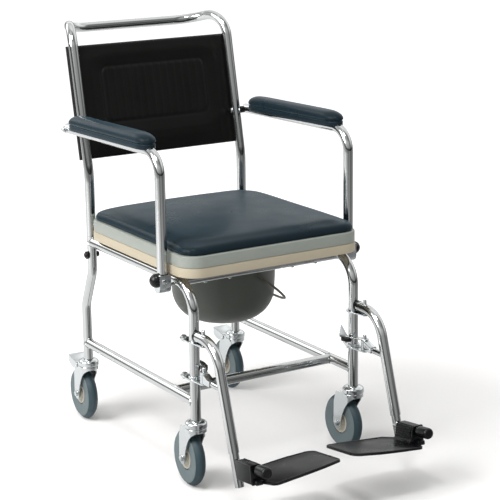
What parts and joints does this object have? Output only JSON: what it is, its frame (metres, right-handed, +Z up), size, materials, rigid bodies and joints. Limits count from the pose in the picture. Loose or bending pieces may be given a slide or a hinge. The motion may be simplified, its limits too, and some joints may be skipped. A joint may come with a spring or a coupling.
{
  "type": "wheeled commode chair",
  "caption": "Chromed tube commode chair on swivel casters, with padded lift-off seat, bucket, flip-up armrests and swing-away footrests.",
  "frame": {"origin": "on the floor, under the middle of the overall box", "axes": "+Z up, the chair faces -Y, +X is the sitter's left"},
  "size_m": [0.5276, 0.9192, 0.9367],
  "materials": {
    "chrome": "polished chrome plate",
    "zinc_plated_steel": "bright zinc plate",
    "black_plastic": "moulded, fine grain",
    "grey_plastic": "moulded, soft sheen",
    "beige_plastic": "moulded, soft sheen",
    "bucket_plastic": "moulded, smooth",
    "hub_plastic": "moulded",
    "tyre_rubber": "solid rubber",
    "seat_vinyl": "smooth vinyl",
    "back_vinyl": "fine-grained vinyl"
  },
  "bodies": {
    "frame": {"side_rail_right": "chrome", "side_rail_left": "chrome", "rear_leg_right": "chrome", "rear_leg_left": "chrome", "side_bar_right": "chrome", "side_bar_left": "chrome", "crossbar": "chrome", "seat_front_bar": "chrome", "back_frame": "chrome", "back_joint_bolt_right": "black_plastic", "back_joint_bolt_left": "black_plastic", "bucket_guide": "chrome", "commode_seat": "beige_plastic", "backrest_panel": "back_vinyl", "arm_pivot_bolt_right": "black_plastic", "arm_pivot_bolt_left": "black_plastic", "footrest_upper_bracket_right": "zinc_plated_steel", "footrest_upper_bracket_left": "zinc_plated_steel", "footrest_lower_bracket_right": "zinc_plated_steel", "footrest_lower_bracket_left": "zinc_plated_steel", "caster_head_front_right": "zinc_plated_steel", "caster_head_front_left": "zinc_plated_steel", "caster_head_rear_right": "zinc_plated_steel", "caster_head_rear_left": "zinc_plated_steel"},
    "lid": {"cushion_board": "grey_plastic", "seat_cushion": "seat_vinyl"},
    "bucket": {"bucket": "bucket_plastic"},
    "bail": {"bucket_bail": "zinc_plated_steel"},
    "arm_right": {"arm_tube_right": "chrome", "arm_pad_right": "seat_vinyl", "arm_lock_bracket_right": "zinc_plated_steel"},
    "knob_right": {"arm_lock_knob_right": "black_plastic"},
    "footrest_right": {"footrest_hanger_right": "chrome"},
    "extension_right": {"footrest_extension_right": "chrome", "footrest_bumper_right": "black_plastic"},
    "footplate_right": {"footplate_right": "black_plastic"},
    "latch_right": {"latch_lever_right": "black_plastic"},
    "arm_left": {"arm_tube_left": "chrome", "arm_pad_left": "seat_vinyl", "arm_lock_bracket_left": "zinc_plated_steel"},
    "knob_left": {"arm_lock_knob_left": "black_plastic"},
    "footrest_left": {"footrest_hanger_left": "chrome"},
    "extension_left": {"footrest_extension_left": "chrome", "footrest_bumper_left": "black_plastic"},
    "footplate_left": {"footplate_left": "black_plastic"},
    "latch_left": {"latch_lever_left": "black_plastic"},
    "fork_front_right": {"caster_fork_front_right": "zinc_plated_steel"},
    "wheel_front_right": {"hub_front_right": "hub_plastic", "tyre_front_right": "tyre_rubber"},
    "fork_front_left": {"caster_fork_front_left": "zinc_plated_steel"},
    "wheel_front_left": {"hub_front_left": "hub_plastic", "tyre_front_left": "tyre_rubber"},
    "fork_rear_right": {"caster_fork_rear_right": "zinc_plated_steel"},
    "wheel_rear_right": {"hub_rear_right": "hub_plastic", "tyre_rear_right": "tyre_rubber"},
    "pedal_rear_right": {"brake_pedal_rear_right": "zinc_plated_steel"},
    "fork_rear_left": {"caster_fork_rear_left": "zinc_plated_steel"},
    "wheel_rear_left": {"hub_rear_left": "hub_plastic", "tyre_rear_left": "tyre_rubber"},
    "pedal_rear_left": {"brake_pedal_rear_left": "zinc_plated_steel"}
  },
  "joints": [
    {"name": "lid_lift", "type": "slide", "parent": "frame", "child": "lid", "axis": [0, 0, 1], "range_m": [0, 0.14]},
    {"name": "bucket_slide", "type": "slide", "parent": "frame", "child": "bucket", "axis": [0, 1, 0], "range_m": [0, 0.3]},
    {"name": "bail_swing", "type": "hinge", "parent": "bucket", "child": "bail", "pos_m": [0, 0.0385, 0.428], "axis": [0, -1, 0], "range_deg": [0, 20]},
    {"name": "arm_flip_right", "type": "hinge", "parent": "frame", "child": "arm_right", "pos_m": [-0.2345, 0.30545, 0.707], "axis": [-1, 0, 0], "range_deg": [0, 100]},
    {"name": "knob_pull_right", "type": "slide", "parent": "arm_right", "child": "knob_right", "axis": [-1, 0, 0], "range_m": [0, 0.008], "stiffness_N_per_m": 400},
    {"name": "footrest_swing_right", "type": "hinge", "parent": "frame", "child": "footrest_right", "pos_m": [-0.2025, -0.221, 0.3425], "axis": [0, 0, -1], "range_deg": [0, 95]},
    {"name": "leg_length_right", "type": "slide", "parent": "footrest_right", "child": "extension_right", "axis": [0, -0.2936, -0.9559], "range_m": [0, 0.05]},
    {"name": "footplate_flip_right", "type": "hinge", "parent": "extension_right", "child": "footplate_right", "pos_m": [-0.199, -0.386, 0.1195], "axis": [0, -0.9925, 0.1219], "range_deg": [0, 90]},
    {"name": "latch_right", "type": "hinge", "parent": "footrest_right", "child": "latch_right", "pos_m": [-0.2025, -0.221, 0.2485], "axis": [0, 0, -1], "range_deg": [0, 25], "stiffness_Nm_per_rad": 0.3},
    {"name": "arm_flip_left", "type": "hinge", "parent": "frame", "child": "arm_left", "pos_m": [0.2345, 0.30545, 0.707], "axis": [-1, 0, 0], "range_deg": [0, 100]},
    {"name": "knob_pull_left", "type": "slide", "parent": "arm_left", "child": "knob_left", "axis": [1, 0, 0], "range_m": [0, 0.008], "stiffness_N_per_m": 400},
    {"name": "footrest_swing_left", "type": "hinge", "parent": "frame", "child": "footrest_left", "pos_m": [0.2025, -0.221, 0.3425], "axis": [0, 0, 1], "range_deg": [0, 95]},
    {"name": "leg_length_left", "type": "slide", "parent": "footrest_left", "child": "extension_left", "axis": [0, -0.2936, -0.9559], "range_m": [0, 0.05]},
    {"name": "footplate_flip_left", "type": "hinge", "parent": "extension_left", "child": "footplate_left", "pos_m": [0.199, -0.386, 0.1195], "axis": [0, 0.9925, -0.1219], "range_deg": [0, 90]},
    {"name": "latch_left", "type": "hinge", "parent": "footrest_left", "child": "latch_left", "pos_m": [0.2025, -0.221, 0.2485], "axis": [0, 0, 1], "range_deg": [0, 25], "stiffness_Nm_per_rad": 0.3},
    {"name": "caster_swivel_front_right", "type": "hinge", "parent": "frame", "child": "fork_front_right", "pos_m": [-0.2008, -0.18, 0.1409], "axis": [0, 0, 1], "continuous": true},
    {"name": "wheel_spin_front_right", "type": "hinge", "parent": "fork_front_right", "child": "wheel_front_right", "pos_m": [-0.19805, -0.14511, 0.0625], "axis": [0.9969, -0.0785, 0], "continuous": true},
    {"name": "caster_swivel_front_left", "type": "hinge", "parent": "frame", "child": "fork_front_left", "pos_m": [0.2008, -0.18, 0.1409], "axis": [0, 0, 1], "continuous": true},
    {"name": "wheel_spin_front_left", "type": "hinge", "parent": "fork_front_left", "child": "wheel_front_left", "pos_m": [0.19958, -0.14502, 0.0625], "axis": [0.9994, 0.0349, 0], "continuous": true},
    {"name": "caster_swivel_rear_right", "type": "hinge", "parent": "frame", "child": "fork_rear_right", "pos_m": [-0.2008, 0.324, 0.1409], "axis": [0, 0, 1], "continuous": true},
    {"name": "wheel_spin_rear_right", "type": "hinge", "parent": "fork_rear_right", "child": "wheel_rear_right", "pos_m": [-0.19897, 0.35895, 0.0625], "axis": [0.9986, -0.0523, 0], "continuous": true},
    {"name": "brake_press_rear_right", "type": "hinge", "parent": "fork_rear_right", "child": "pedal_rear_right", "pos_m": [-0.19928, 0.35296, 0.133], "axis": [-0.9986, 0.0523, 0], "range_deg": [0, 12]},
    {"name": "caster_swivel_rear_left", "type": "hinge", "parent": "frame", "child": "fork_rear_left", "pos_m": [0.2008, 0.324, 0.1409], "axis": [0, 0, 1], "continuous": true},
    {"name": "wheel_spin_rear_left", "type": "hinge", "parent": "fork_rear_left", "child": "wheel_rear_left", "pos_m": [0.2008, 0.359, 0.0625], "axis": [1, 0, 0], "continuous": true},
    {"name": "brake_press_rear_left", "type": "hinge", "parent": "fork_rear_left", "child": "pedal_rear_left", "pos_m": [0.2008, 0.353, 0.133], "axis": [-1, 0, 0], "range_deg": [0, 12]}
  ]
}
